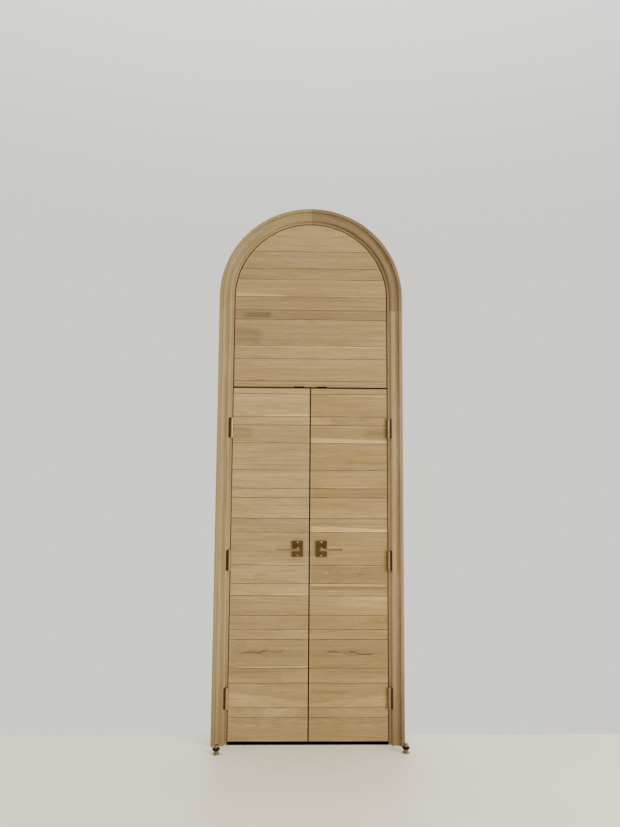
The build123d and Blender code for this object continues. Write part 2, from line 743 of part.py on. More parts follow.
def frame_nodes():
    nodes = {
        "arch_lining": arch_lining(),
        "head_rail": head_rail(),
        "stop_head": head_stop(),
        "arch_bead": arch_bead(),
        "panel_core": panel_core(),
        "panel_boards": panel_boards(),
    }
    nodes |= both_sides("jamb", jamb())
    nodes |= both_sides("stop", jamb_stop())
    nodes |= both_sides("casing_leg", casing_leg())
    nodes |= both_sides("casing_arch", casing_arch())
    nodes |= both_sides("strike", strike())
    screws = strike_screws()
    nodes["strike_screws"] = group([*screws, *[mirror(screw, Plane.YZ) for screw in screws]])
    for side, place in FLOOR_STOP_PLACES.items():
        nodes[f"floor_stop_{side}"] = floor_stop(*place)
        nodes[f"floor_stop_ring_{side}"] = floor_stop_ring(*place)
    return nodes


def leaf_nodes():
    nodes = {}
    nodes |= both_sides("leaf_core", leaf_core())
    nodes |= both_sides("leaf_boards", leaf_boards())
    nodes |= both_sides("leaf_back", leaf_back())
    nodes |= both_sides("rose", rose())
    nodes |= both_sides("rose_screws", group(rose_screws()))
    nodes |= both_sides("lever", lever())
    nodes |= both_sides("spindle", spindle())
    nodes |= both_sides("spring_cassette", spring_cassette())
    nodes |= both_sides("catch_case", catch_case())
    nodes |= both_sides("catch_ball", catch_ball())
    nodes |= both_sides("catch_spring", catch_spring())
    return nodes


def hinge_nodes():
    nodes = {}
    for name, level in HINGE_LEVELS.items():
        nodes |= both_sides(f"frame_hinge_plate_{name}", frame_hinge_plate(level))
        nodes |= both_sides(f"leaf_hinge_plate_{name}", leaf_hinge_plate(level))
    pins = hinge_pins()
    nodes["hinge_pins"] = group([*pins, *[mirror(pin, Plane.YZ) for pin in pins]])
    jamb_screws = [jamb_screw(*place) for place in hinge_screw_places()]
    nodes["frame_hinge_screws"] = group([*jamb_screws, *[mirror(screw, Plane.YZ) for screw in jamb_screws]])
    leaf_screws = group([leaf_screw(*place) for place in hinge_screw_places()])
    nodes |= both_sides("leaf_hinge_screws", leaf_screws)
    return nodes


def main():
    os.makedirs("parts", exist_ok=True)
    nodes = frame_nodes() | leaf_nodes() | hinge_nodes()
    for name, shape in nodes.items():
        export_step(shape, f"parts/{name}.step")


main()
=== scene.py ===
"""Dressed model of a round-headed doorway: two boarded oak leaves under a fixed arched panel."""

import logging
import math
from dataclasses import dataclass, field
from enum import Enum

import bmesh
import bpy
from mathutils import Matrix, Vector


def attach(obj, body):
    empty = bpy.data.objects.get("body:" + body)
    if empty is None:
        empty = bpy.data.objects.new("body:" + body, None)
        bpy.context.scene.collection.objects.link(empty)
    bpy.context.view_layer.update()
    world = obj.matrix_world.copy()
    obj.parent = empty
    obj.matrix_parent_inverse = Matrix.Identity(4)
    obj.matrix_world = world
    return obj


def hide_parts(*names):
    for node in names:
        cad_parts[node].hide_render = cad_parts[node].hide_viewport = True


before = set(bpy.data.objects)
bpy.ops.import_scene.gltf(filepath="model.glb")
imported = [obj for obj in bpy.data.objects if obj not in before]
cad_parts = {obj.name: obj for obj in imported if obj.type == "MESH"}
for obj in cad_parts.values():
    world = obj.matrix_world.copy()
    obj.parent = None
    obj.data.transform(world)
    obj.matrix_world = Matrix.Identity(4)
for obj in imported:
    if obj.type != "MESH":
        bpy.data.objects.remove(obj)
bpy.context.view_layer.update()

Pair = tuple[float, float]
Triple = tuple[float, float, float]
Socket = bpy.types.NodeSocket
Material = bpy.types.Material
BMesh = bmesh.types.BMesh
Finishes = dict[str, Material]

LOG = logging.getLogger("arched_door")
MM = 0.001
WHITE = (1.0, 1.0, 1.0)
FORWARD = (0.0, -1.0, 0.0)
UPWARD = (0.0, 0.0, 1.0)

# Levels in metres and board heights that the wood's patterns share with the solids
LEAF_FOOT = 0.0155
RAIL_SOFFIT = 2.0435
SPRINGING = 2.590
HINGE_LEVELS = (0.2555, 1.0275, 1.7995)
HINGE_WORDS = ("top", "middle", "bottom")
BOARD_HEIGHTS_MM = (
    133, 56, 131, 84, 160, 57, 78, 111, 68, 106, 190, 79, 121, 54, 108, 159, 106, 52, 136, 77,
    135, 78, 162, 58, 82, 108, 68, 106, 190,
)

# Pairs of places between which colour fades, in metres: painted shade in the hinge pockets and
# under the rail's soffit, darkening towards the foot, and grime in the boards' joints with painted
# shade on their edges
BARREL_ENDS = (0.0605, 0.0575)
POCKET_SIDES = (0.4845, 0.4820)
POCKET_DEPTH = (0.010, 0.004)
SOFFIT_RISE = (RAIL_SOFFIT + 0.0008, RAIL_SOFFIT + 0.0002)
SOFFIT_DEPTH = (0.0455, 0.0450)
FOOT_RISE = (-0.05, 0.9)
JOINT_DEPTH = (0.0001, 0.0014)
FACE_DEPTH = (0.0035, 0.0050)


class Grain(Enum):
    """Way that the grain runs in a piece of wood."""

    ACROSS = "across"
    UPRIGHT = "upright"
    ROUND_ARCH = "round_arch"


class Side(Enum):
    """Side of the doorway, seen from the room, with the sign of its X."""

    LEFT = -1
    RIGHT = 1

    @property
    def word(self) -> str:
        """Side's name as the nodes and bodies write it."""
        return self.name.lower()


class NodeBench:
    """Node tree with short ways to add and join its nodes."""

    def __init__(self, tree: bpy.types.NodeTree) -> None:
        """Starts on a node tree."""
        self.tree = tree

    def feed(self, socket: Socket, value: object) -> None:
        """Links a socket into another, or sets its own value.

        Args:
            socket: The input to feed.
            value: An output socket, or a plain value.
        """
        if isinstance(value, bpy.types.NodeSocket):
            self.tree.links.new(value, socket)
        elif socket.type == "RGBA" and len(value) == 3:
            socket.default_value = (*value, 1.0)
        else:
            socket.default_value = value

    def add(self, kind: str, inputs: dict | None = None, **settings: object) -> bpy.types.Node:
        """Adds a node.

        Args:
            kind: The node's type name.
            inputs: Values or sockets by the input's name or number.
            settings: The node's own properties.

        Returns:
            The new node.
        """
        node = self.tree.nodes.new(kind)
        for name, value in settings.items():
            setattr(node, name, value)
        for key, value in (inputs or {}).items():
            self.feed(node.inputs[key], value)
        return node

    def math(self, operation: str, *values: object) -> Socket:
        """Result of a Math node that has its inputs in this order."""
        return self.add("ShaderNodeMath", dict(enumerate(values)), operation=operation).outputs[0]

    def times(self, first: object, second: object) -> Socket:
        """Product of two numbers."""
        return self.math("MULTIPLY", first, second)

    def times_add(self, first: object, second: object, third: object) -> Socket:
        """Product of two numbers, plus a third."""
        return self.math("MULTIPLY_ADD", first, second, third)

    def vector(self, operation: str, inputs: dict, output: int = 0) -> Socket:
        """Result of a Vector Math node, as a vector (0) or a number (1)."""
        return self.add("ShaderNodeVectorMath", inputs, operation=operation).outputs[output]

    def combine(self, x: object, y: object, z: object) -> Socket:
        """Vector made from three numbers."""
        return self.add("ShaderNodeCombineXYZ", {0: x, 1: y, 2: z}).outputs[0]

    def distance(self, first: object, second: object) -> Socket:
        """Distance between two points."""
        return self.vector("DISTANCE", {0: first, 1: second}, 1)

    def smooth(
        self, value: Socket, low: float, high: float, to: tuple[object, object] = (0.0, 1.0),
    ) -> Socket:
        """Eases a value from one range into another and holds it at the ends.

        Args:
            value: The number to map.
            low: Where the range starts.
            high: Where the range ends.
            to: The results at the start and the end.

        Returns:
            The mapped number.
        """
        flip = low > high
        ends = {1: min(low, high), 2: max(low, high), 3: to[flip], 4: to[not flip]}
        node = self.add("ShaderNodeMapRange", {0: value, **ends}, interpolation_type="SMOOTHSTEP")
        return node.outputs[0]

    def noise(
        self, vector: Socket, scale: float, detail: float = 2.0, roughness: float = 0.5,
    ) -> Socket:
        """Noise near 0.5 at a vector, with finer layers by their number and strength."""
        inputs = {"Vector": vector, "Scale": scale, "Detail": detail, "Roughness": roughness}
        return self.add("ShaderNodeTexNoise", inputs).outputs[0]

    def chance(self, number: Socket, seed: float) -> Socket:
        """Number from 0 to 1 that is fixed for each whole number and seed."""
        moved = self.math("ADD", number, seed)
        return self.add("ShaderNodeTexWhiteNoise", {"W": moved}, noise_dimensions="1D").outputs[0]

    def curve(self, value: Socket, points: tuple[Pair, ...]) -> Socket:
        """Curve through given points, read at a number from 0 to 1.

        Args:
            value: Where it is read.
            points: The curve's points.

        Returns:
            The curve's height.
        """
        node = self.add("ShaderNodeFloatCurve", {"Value": value})
        line = node.mapping.curves[0].points
        line[0].location, line[1].location = points[0], points[-1]
        for place, height in points[1:-1]:
            line.new(place, height)
        node.mapping.update()
        return node.outputs[0]

    def mix(self, factor: object, first: object, second: object) -> Socket:
        """Mix of two colours, by the share of the second."""
        inputs = {0: factor, 6: first, 7: second}
        return self.add("ShaderNodeMix", inputs, data_type="RGBA").outputs[2]

    def tinted(self, colour: Socket, tint: Socket) -> Socket:
        """Colour multiplied by another, channel by channel."""
        return self.vector("MULTIPLY", {0: colour, 1: tint})

    def brighten(self, colour: Socket, factor: Socket) -> Socket:
        """Colour multiplied by a number."""
        return self.vector("SCALE", {0: colour, "Scale": factor})


class MaterialBench(NodeBench):
    """Bench for a material with its Principled shader."""

    def __init__(self, name: str) -> None:
        """Makes a material, with its object coordinates at hand.

        Args:
            name: The material's name.
        """
        self.material = bpy.data.materials.new(name)
        self.material.use_nodes = True
        super().__init__(self.material.node_tree)
        self.shader = self.tree.nodes["Principled BSDF"]
        self.place = self.add("ShaderNodeTexCoord").outputs["Object"]
        self.x, self.y, self.z = self.add("ShaderNodeSeparateXYZ", {0: self.place}).outputs

    def finish(self, **sockets: object) -> Material:
        """Sets the shader's inputs.

        Args:
            sockets: Values by the input's name, with underscores for spaces.

        Returns:
            The finished material.
        """
        for name, value in sockets.items():
            self.feed(self.shader.inputs[name.replace("_", " ")], value)
        return self.material

    def bump(
        self, height: Socket, depth: float, strength: float, under: Socket | None = None,
    ) -> Socket:
        """Normal, over another if given, from a height whose 1 stands for a depth in metres."""
        inputs = {"Height": height, "Distance": depth, "Strength": strength}
        return self.add("ShaderNodeBump", inputs | ({"Normal": under} if under else {})).outputs[0]


def make_board_counter() -> None:
    """Makes the group that gives the number of the board at a height."""
    tree = bpy.data.node_groups.new("board_counter", "ShaderNodeTree")
    tree.interface.new_socket("Height", in_out="INPUT", socket_type="NodeSocketFloat")
    tree.interface.new_socket("Number", in_out="OUTPUT", socket_type="NodeSocketFloat")
    bench = NodeBench(tree)
    height = bench.add("NodeGroupInput").outputs[0]
    number: object = 0.0
    joint = LEAF_FOOT
    for board in BOARD_HEIGHTS_MM[:-1]:
        joint += board * MM
        number = bench.math("ADD", bench.math("GREATER_THAN", height, joint), number)
    bench.add("NodeGroupOutput", {0: number})


@dataclass(frozen=True)
class Knot:
    """Small knot in a board's face, in millimetres, wider than tall where narrow is under 1."""

    across: float
    height: float
    radius: float
    dark: float
    narrow: float = 0.5
    reach: float = 6.0
    swell: float = 0.16


@dataclass(frozen=True)
class Streak:
    """Paler or darker band along a board, in millimetres.

    Its upper edge slopes from one height at its left end to another at its right end.
    """

    left: float
    right: float
    low: float
    high_left: float
    high_right: float
    lift: float
    soft: float = 2.0
    fade: float = 60.0

    def mask(self, bench: MaterialBench, wander: Socket) -> Socket:
        """Strength of the band at a place.

        Args:
            bench: The material's bench.
            wander: Slow noise that bends its edge.

        Returns:
            The lift, fading to 0 outside the band.
        """
        left, right, low, soft = self.left * MM, self.right * MM, self.low * MM, self.soft * MM
        fade = min(self.fade * MM, (right - left) / 3)
        slope = (self.high_right - self.high_left) / (self.right - self.left)
        edge = bench.times_add(bench.x, slope, self.high_left * MM - slope * left)
        edge = bench.times_add(wander, soft * 2, edge)
        above = bench.math("SUBTRACT", bench.z, edge)
        under_edge = bench.smooth(above, soft, -soft, (0.0, self.lift))
        over_foot = bench.smooth(bench.z, low - soft / 2, low + soft / 2)
        in_left = bench.smooth(bench.x, left - fade / 2, left + fade / 2)
        in_right = bench.smooth(bench.x, right + fade / 2, right - fade / 2)
        return bench.times(bench.times(under_edge, over_foot), bench.times(in_left, in_right))


def streaks(
    ends: Pair, boards: tuple[Triple, ...], others: tuple[tuple[float, ...], ...],
) -> tuple[Streak, ...]:
    """Streaks from side to side, by foot, top and lift, and others by all their values."""
    whole = tuple(Streak(*ends, low, high, high, lift) for low, high, lift in boards)
    return whole + tuple(Streak(*values) for values in others)


@dataclass(frozen=True)
class OakFinish:
    """Clear-sealed oak, with the grain running one way along the piece."""

    name: str
    grain: Grain
    seed: float
    pale: Triple = (0.475, 0.325, 0.150)
    warm: Triple = (0.440, 0.285, 0.120)
    dark: Triple = (0.300, 0.185, 0.075)
    figure: float = 0.22
    roughness: float = 0.48
    # Painted shade: hinged pieces take this dark colour in the pockets beside the hinges' barrels
    hinged: bool = False
    soil: Triple = (0.125, 0.062, 0.018)
    # Painted shade under the rail's soffit, above the leaves, in the colour below
    dark_soffit: bool = False
    shade: Triple = (0.022, 0.012, 0.006)
    foot: Triple = WHITE
    slant: float = 0.7
    arch_reach: float = 0.5
    half_shift: float = 3.0
    tree_shift: float = 17.31
    sway: float = 0.032
    rings: float = 26.0

    def run(self, bench: MaterialBench) -> tuple[Socket, Socket]:
        """Distances along and across the grain.

        Args:
            bench: The material's bench.

        Returns:
            The distance along the grain and the distance across it, in metres.
        """
        if self.grain is Grain.ACROSS:
            return bench.x, bench.times_add(bench.y, self.slant, bench.z)
        if self.grain is Grain.UPRIGHT:
            return bench.z, bench.times_add(bench.y, self.slant, bench.x)
        over = bench.math("SUBTRACT", bench.z, SPRINGING)
        rise = bench.math("MAXIMUM", over, 0.0)
        drop = bench.math("MINIMUM", over, 0.0)
        radius = bench.distance(bench.combine(bench.x, 0.0, rise), (0.0, 0.0, 0.0))
        angle = bench.math("ARCTAN2", rise, bench.math("ABSOLUTE", bench.x))
        along = bench.times_add(angle, self.arch_reach, drop)
        along = bench.times_add(bench.math("SIGN", bench.x), self.half_shift, along)
        return along, bench.times_add(bench.y, self.slant, radius)

    def wood(
        self, bench: MaterialBench, along: Socket, across: Socket, draw: object,
        bumps: object = 0.0,
    ) -> dict[str, object]:
        """Colour, gloss and bump of the wood.

        Args:
            bench: The material's bench.
            along: Distance along the grain.
            across: Distance across the grain.
            draw: Number that moves the pattern to another part of the tree.
            bumps: Height that knots add to the growth rings.

        Returns:
            Shader inputs by name, with the colour under "Base_Color".
        """
        shift = bench.times_add(draw, self.tree_shift, self.seed)
        deep = bench.math("ADD", bench.y, shift)

        def grown(
            side: Socket, long: float, wide: float, detail: float, roughness: float = 0.5,
        ) -> Socket:
            """Noise in the wood, at its own scale along the grain and across it."""
            place = bench.combine(bench.times(along, long), bench.times(side, wide), deep)
            return bench.noise(place, 1.0, detail, roughness)

        bent = bench.times_add(grown(across, 1.1, 1.6, 1.0), self.sway, across)
        rings = bench.math("ADD", grown(bent, 0.55, 7.0, 1.5, 0.45), bumps)
        ring = bench.math("FRACT", bench.times(rings, self.rings))
        late = bench.times(bench.smooth(ring, 0.30, 0.93), bench.smooth(ring, 1.0, 0.95))
        fibre = grown(bent, 3.5, 190.0, 3.0, 0.6)
        band = grown(bent, 1.5, 48.0, 2.0)
        cloud = grown(bent, 1.3, 9.0, 2.0)
        pore = bench.smooth(grown(bent, 50.0, 1500.0, 1.0), 0.60, 0.72)
        dash = grown(bent, 21.0, 210.0, 1.5)
        colour = bench.mix(bench.smooth(cloud, 0.32, 0.68), self.pale, self.warm)
        figure = bench.times_add(bumps, 1.8, self.figure)
        colour = bench.mix(bench.times(late, figure), colour, self.dark)
        tone = bench.smooth(fibre, 0.25, 0.75, (0.86, 1.14))
        for part, low, high, to in (
            (band, 0.3, 0.7, (0.92, 1.08)), (pore, 0.0, 1.0, (1.0, 0.84)),
            (dash, 0.32, 0.68, (0.945, 1.055)),
        ):
            tone = bench.times(tone, bench.smooth(part, low, high, to))
        height = bench.times_add(pore, -0.6, bench.times(fibre, 0.4))
        gloss = (self.roughness - 0.07, self.roughness + 0.09)
        return {
            "Base_Color": bench.brighten(colour, tone),
            "Roughness": bench.smooth(fibre, 0.2, 0.8, gloss),
            "Normal": bench.bump(height, 0.00025, 0.5),
            "Specular_IOR_Level": 0.35,
        }

    def make(self) -> Material:
        """Makes the material for a plain piece, darker towards its foot, with painted shade behind
        the hinges' barrels and under the rail's soffit.

        Returns:
            The finished material.
        """
        bench = MaterialBench(self.name)
        along, across = self.run(bench)
        sockets = self.wood(bench, along, across, 0.0)
        colour = sockets["Base_Color"]
        if self.foot != WHITE:
            tint = bench.mix(bench.smooth(bench.z, *FOOT_RISE), self.foot, WHITE)
            colour = bench.tinted(colour, tint)
        # Painted shade in the pockets beside the hinges' barrels and on the jamb strip round them
        if self.hinged:
            out = bench.smooth(bench.math("ABSOLUTE", bench.x), *POCKET_SIDES)
            pocket = bench.times(out, bench.smooth(bench.y, *POCKET_DEPTH))
            near: object = 0.0
            for level in HINGE_LEVELS:
                away = bench.math("ABSOLUTE", bench.math("SUBTRACT", bench.z, level))
                near = bench.math("ADD", near, bench.smooth(away, *BARREL_ENDS))
            colour = bench.mix(bench.times(near, pocket), colour, self.soil)
        # Painted shade under the rail's soffit, above the leaves
        if self.dark_soffit:
            below = bench.smooth(bench.z, *SOFFIT_RISE, (0.0, 0.97))
            before = bench.smooth(bench.y, *SOFFIT_DEPTH)
            colour = bench.mix(bench.times(below, before), colour, self.shade)
        return bench.finish(**{**sockets, "Base_Color": colour})


@dataclass(frozen=True)
class BoardFinish(OakFinish):
    """Oak boards laid across, each from its own plank, with soiled joints between them.

    Up to the matched height the grain is mirrored about the middle of the doorway. The crack
    runs through points, each given by its distance from the middle and its height in
    millimetres, and by how dark the crack is there.
    """

    matched: float = 0.0
    tone_seed: float = 1.0
    spread: float = 0.05
    knots: tuple[Knot, ...] = ()
    knot_brown: Triple = (0.085, 0.048, 0.020)
    streaks: tuple[Streak, ...] = ()
    crack: tuple[Triple, ...] = ()
    crack_foot: float = 490.0
    crack_span: float = 40.0
    crack_wander: float = 8.0
    crack_line: Pair = (4.5, 1.2)
    crack_stain: Pair = (18.0, 3.0)
    line_brown: Triple = (0.085, 0.050, 0.022)
    stain_brown: Triple = (0.215, 0.130, 0.055)
    tint_low: Triple = WHITE
    tint_high: Triple = WHITE
    tint_rise: Pair = (0.1, 1.7)
    # Where painted shade darkens the outer edges at the gaps round the leaves and the panel
    soil_sides: Pair = (0.003, 0.4575)
    soil_ends: Pair = (0.017, 2.0368)

    def crack_masks(self, bench: MaterialBench) -> tuple[Socket, Socket]:
        """Wandering crack across one board.

        Args:
            bench: The material's bench.

        Returns:
            Strength of the crack's own dark line, and of the soft stain round it.
        """
        out = bench.math("ABSOLUTE", bench.x)
        share = bench.times(out, 2.0)
        places = [across * 2 * MM for across, _, _ in self.crack]
        levels = [(level - self.crack_foot) / self.crack_span for _, level, _ in self.crack]
        rise = bench.curve(share, tuple(zip(places, levels)))
        weight = bench.curve(share, tuple(zip(places, (dark for _, _, dark in self.crack))))
        wander = bench.noise(bench.combine(out, self.tone_seed, 4.7), 70.0, 2.0, 0.6)
        foot = (self.crack_foot - self.crack_wander / 2) * MM
        height = bench.times_add(rise, self.crack_span * MM, foot)
        height = bench.times_add(wander, self.crack_wander * MM, height)
        away = bench.math("ABSOLUTE", bench.math("SUBTRACT", bench.z, height))
        line, stain = (
            bench.times(bench.smooth(away, far * MM, near * MM), weight)
            for far, near in (self.crack_line, self.crack_stain)
        )
        return line, stain

    def clean(self, bench: MaterialBench) -> Socket:
        """Factor for the boards' tone, with grime in their joints and painted shade along their
        outer edges at the gaps.

        Args:
            bench: The material's bench.

        Returns:
            A factor from 0 to 1 for the boards' tone.
        """
        patchy = bench.noise(bench.combine(bench.x, self.tone_seed, bench.z), 9.0)
        grime = bench.smooth(patchy, 0.36, 0.64, (0.10, 0.44))
        clean = bench.smooth(bench.y, *JOINT_DEPTH, (1.0, grime))
        rise = bench.math("MAXIMUM", bench.math("SUBTRACT", bench.z, SPRINGING), 0.0)
        out = bench.distance(bench.combine(bench.x, 0.0, rise), (0.0, 0.0, 0.0))
        left, right = self.soil_sides
        foot, head = self.soil_ends
        # Painted shade along the outer edges, at the gaps round the leaves and under the panel
        for place, edge, step, edge_shade in (
            (out, left, 0.002, 0.25), (out, right, -0.001, 0.25),
            (bench.z, foot, 0.0015, 0.18), (bench.z, head, -0.0015, 0.18),
        ):
            if edge:
                clean = bench.times(clean, bench.smooth(place, edge, edge + step, (edge_shade, 1.0)))
        return bench.math("MAXIMUM", clean, bench.smooth(bench.y, *FACE_DEPTH, (0.0, 0.85)))

    def make(self) -> Material:
        """Makes the material for the boards of one leaf or of the panel.

        Returns:
            The finished material.
        """
        bench = MaterialBench(self.name)
        counter = bench.add("ShaderNodeGroup", node_tree=bpy.data.node_groups["board_counter"])
        bench.feed(counter.inputs[0], bench.z)
        number = counter.outputs[0]
        plank = bench.chance(number, self.seed)
        out = bench.math("ABSOLUTE", bench.x)
        over = bench.math("GREATER_THAN", bench.z, self.matched)
        along = bench.times_add(over, bench.math("SUBTRACT", bench.x, out), out)
        along = bench.times_add(plank, 5.0, along)
        bumps: object = 0.0
        dark: object = 0.0
        for knot in self.knots:
            flat = bench.combine(bench.times(bench.x, knot.narrow), 0.0, bench.z)
            away = bench.distance(flat, (knot.across * knot.narrow * MM, 0.0, knot.height * MM))
            size = knot.radius * MM
            swell = bench.smooth(away, size * knot.reach, 0.0, (0.0, knot.swell))
            spot = bench.smooth(away, size, size * 0.2, (0.0, knot.dark))
            bumps, dark = bench.math("ADD", swell, bumps), bench.math("ADD", spot, dark)
        sockets = self.wood(bench, along, bench.z, plank, bumps)
        shades = (1 - self.spread, 1 + self.spread)
        tone = bench.smooth(bench.chance(number, self.tone_seed), 0.0, 1.0, shades)
        wander = bench.noise(bench.combine(along, plank, 0.0), 4.0)
        wander = bench.math("SUBTRACT", wander, 0.5)
        for streak in self.streaks:
            tone = bench.math("ADD", tone, streak.mask(bench, wander))
        tone = bench.times(tone, self.clean(bench))
        tint = bench.mix(bench.smooth(bench.z, *self.tint_rise), self.tint_low, self.tint_high)
        colour = bench.brighten(bench.tinted(sockets["Base_Color"], tint), tone)
        colour = bench.mix(bench.math("MINIMUM", dark, 0.85), colour, self.knot_brown)
        if self.crack:
            line, stain = self.crack_masks(bench)
            colour = bench.mix(bench.times(stain, 0.40), colour, self.stain_brown)
            colour = bench.mix(bench.times(line, 0.88), colour, self.line_brown)
            flat = bench.math("SUBTRACT", 1.0, line)
            sockets["Normal"] = bench.bump(flat, 0.0012, 0.6, sockets["Normal"])
        sockets["Base_Color"] = colour
        return bench.finish(**sockets)


@dataclass(frozen=True)
class MetalFinish:
    """Worn metal with a patina that thins along the edges."""

    name: str
    base: Triple
    worn: Triple
    stain: Triple
    roughness: float
    grit: float = 0.10
    edge: float = 0.0007

    def make(self) -> Material:
        """Makes the material for this metal.

        Returns:
            The finished material.
        """
        bench = MaterialBench(self.name)
        blotch = bench.noise(bench.place, 55.0, 4.0, 0.6)
        fine = bench.noise(bench.place, 900.0, 3.0, 0.6)
        soft = bench.add("ShaderNodeBevel", {0: self.edge}, samples=4).outputs[0]
        flat = bench.add("ShaderNodeNewGeometry").outputs["Normal"]
        turn = bench.vector("DOT_PRODUCT", {0: soft, 1: flat}, 1)
        rub = bench.smooth(bench.times_add(fine, 0.03, turn), 1.0, 0.93)
        colour = bench.mix(bench.smooth(blotch, 0.42, 0.75), self.base, self.stain)
        colour = bench.mix(bench.times(rub, 0.75), colour, self.worn)
        gloss = (self.roughness - self.grit, self.roughness + self.grit)
        rough = bench.smooth(blotch, 0.2, 0.8, gloss)
        return bench.finish(
            Base_Color=colour,
            Metallic=1.0,
            Roughness=bench.times_add(fine, 0.06, rough),
            Normal=bench.bump(fine, 0.00004, 0.35, soft),
        )


@dataclass(frozen=True)
class RubberFinish:
    """Matt black moulded rubber with a dusty bloom."""

    name: str
    base: Triple = (0.010, 0.0075, 0.006)
    dusty: Triple = (0.034, 0.027, 0.021)

    def make(self) -> Material:
        """Makes the material for this rubber.

        Returns:
            The finished material.
        """
        bench = MaterialBench(self.name)
        dust = bench.smooth(bench.noise(bench.place, 120.0, 4.0, 0.65), 0.45, 0.8)
        return bench.finish(
            Base_Color=bench.mix(bench.times(dust, 0.35), self.base, self.dusty),
            Roughness=bench.smooth(dust, 0.0, 1.0, (0.6, 0.8)),
            Specular_IOR_Level=0.1,
            Normal=bench.bump(bench.noise(bench.place, 2600.0, 2.0), 0.00006, 0.4),
        )


@dataclass(frozen=True)
class FloorFinish:
    """Pale, slightly glossy studio floor."""

    name: str
    base: Triple = (0.95, 0.885, 0.745)
    shade: Triple = (0.92, 0.855, 0.715)

    def make(self) -> Material:
        """Makes the material for the floor.

        Returns:
            The finished material.
        """
        bench = MaterialBench(self.name)
        cloud = bench.noise(bench.place, 2.5, 3.0)
        return bench.finish(
            Base_Color=bench.mix(bench.smooth(cloud, 0.3, 0.7), self.base, self.shade),
            Roughness=bench.smooth(cloud, 0.2, 0.8, (0.28, 0.36)),
        )


@dataclass(frozen=True)
class DarkFinish:
    """Near-black painted shade on what the studio holds under and behind the closed leaves."""

    name: str
    base: Triple = (0.012, 0.010, 0.008)

    def make(self) -> Material:
        """Makes the material for the slot in the floor, or for the strip behind the gap."""
        bench = MaterialBench(self.name)
        return bench.finish(Base_Color=self.base, Roughness=0.9, Specular_IOR_Level=0.1)


LEFT_STREAKS = streaks(
    (-460, -2), (
        (15, 148, -0.08), (204, 336, -0.06), (336, 420, -0.165), (420, 580, -0.235),
        (580, 636, -0.04), (636, 714, -0.14), (714, 826, -0.05), (826, 1000, 0.096),
        (1000, 1190, -0.05), (1190, 1268, -0.128), (1268, 1390, 0.048), (1710, 1816, -0.06),
    ), (
        (-460, -4, 1955, 2004, 2004, 0.16, 12), (-270, -6, 1869, 1880, 1884, 0.352),
        (-458, -340, 1740, 1812, 1800, -0.16, 8), (-460, -250, 1712, 1722, 1718, 0.224),
        (-450, -60, 1190, 1198, 1198, 0.192), (-280, -8, 1001, 1013, 1013, 0.352),
        (-310, -245, 935, 955, 960, -0.192, 6), (-170, -80, 962, 974, 974, -0.192, 4),
        (-230, -6, 828, 838, 838, 0.16), (-455, -290, 806, 826, 816, 0.192, 3),
        (-150, -5, 618, 634, 634, 0.224), (-400, -4, 420, 426, 432, 0.48),
        (-150, -5, 340, 400, 400, 0.128, 8), (-458, -4, 204, 292, 230, 0.208, 5),
        (-300, -4, 240, 336, 336, -0.096, 10), (-250, -60, 150, 204, 204, 0.16, 5),
    ),
)
RIGHT_STREAKS = streaks(
    (4, 458), (
        (15, 148, -0.08), (204, 336, -0.11), (336, 420, -0.06), (420, 580, -0.175),
        (636, 714, -0.06), (882, 894, 0.45), (894, 1000, -0.205), (1390, 1444, -0.215),
        (1444, 1552, -0.05), (1710, 1816, -0.05),
    ), (
        (100, 455, 1988, 1998, 1998, 0.24), (8, 120, 1822, 1860, 1860, 0.16, 5),
        (4, 456, 1710, 1745, 1728, 0.6), (330, 456, 1745, 1800, 1800, -0.16, 8),
        (180, 450, 1588, 1600, 1598, -0.192, 4), (80, 345, 1446, 1455, 1455, 0.352),
        (4, 458, 1190, 1224, 1208, 0.66), (4, 458, 1232, 1250, 1244, -0.224, 5),
        (170, 456, 990, 1000, 1000, 0.32), (88, 108, 949, 960, 960, 0.3, 3),
        # The three bands from 448 to 480 mm, one at each hinge, are painted shadows of the hinges'
        # barrels
        (448, 480, 1742, 1857, 1857, -0.5), (448, 480, 970, 1085, 1085, -0.5),
        (448, 480, 198, 313, 313, -0.5), (4, 458, 858, 880, 878, -0.288, 6),
        (80, 245, 848, 853, 853, 0.192), (180, 458, 765, 826, 826, 0.192, 12),
        (340, 430, 676, 690, 686, -0.192, 5), (120, 200, 494, 502, 502, 0.352, 3),
        (285, 345, 484, 493, 493, 0.256, 3), (4, 230, 276, 305, 300, -0.192, 8),
        (4, 458, 204, 225, 264, 0.24, 4),
    ),
)
PANEL_STREAKS = streaks(
    (-460, 460), (
        (2039, 2082, -0.06), (2216, 2294, -0.055), (2294, 2456, -0.05), (2456, 2514, -0.176),
        (2514, 2596, -0.1), (2596, 2772, -0.06), (2704, 2710, 0.128),
    ), (
        (-460, -160, 2596, 2624, 2606, 0.544), (-170, 455, 2597, 2604, 2606, 0.192),
        (-400, -240, 2468, 2500, 2500, -0.256, 8), (-460, -300, 2300, 2415, 2395, -0.208, 12),
        (-460, 450, 2287, 2294, 2294, 0.384), (-180, 350, 2286, 2296, 2296, 0.224),
    ),
)
FRAME_OAK = {"pale": (0.444, 0.329, 0.160), "warm": (0.403, 0.286, 0.128)}
FOOT_LEFT, FOOT_RIGHT = (0.71, 0.69, 0.64), (0.60, 0.58, 0.56)
